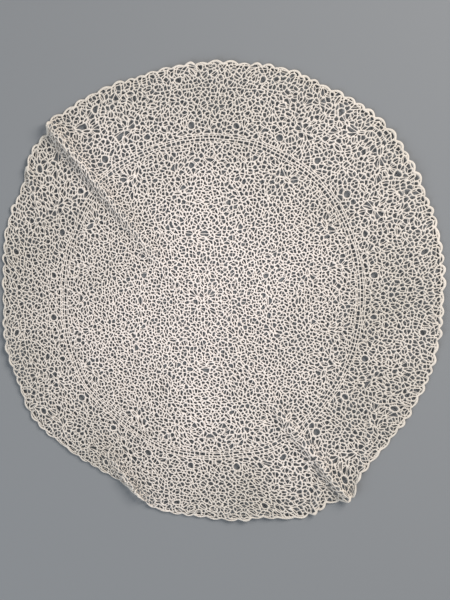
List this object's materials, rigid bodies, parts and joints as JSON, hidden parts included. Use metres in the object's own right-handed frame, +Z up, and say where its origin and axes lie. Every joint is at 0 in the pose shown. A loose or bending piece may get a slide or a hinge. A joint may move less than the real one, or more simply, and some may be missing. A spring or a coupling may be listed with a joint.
{
  "type": "round lace doily",
  "caption": "Round openwork table doily with a scalloped edge, laid out nearly flat with its storage creases still standing.",
  "frame": {"origin": "on the surface the doily lies on, under the middle of its laid outline", "axes": "+Z up out of the cloth, +Y towards the top edge of the doily as it lies, +X to its right"},
  "size_m": [0.4872, 0.506, 0.0135],
  "materials": {
    "ivory_thread": "matt twisted thread, warm ivory, softly lustrous on the raised cords"
  },
  "bodies": {
    "root": {"lace_doily": "ivory_thread"}
  },
  "joints": []
}
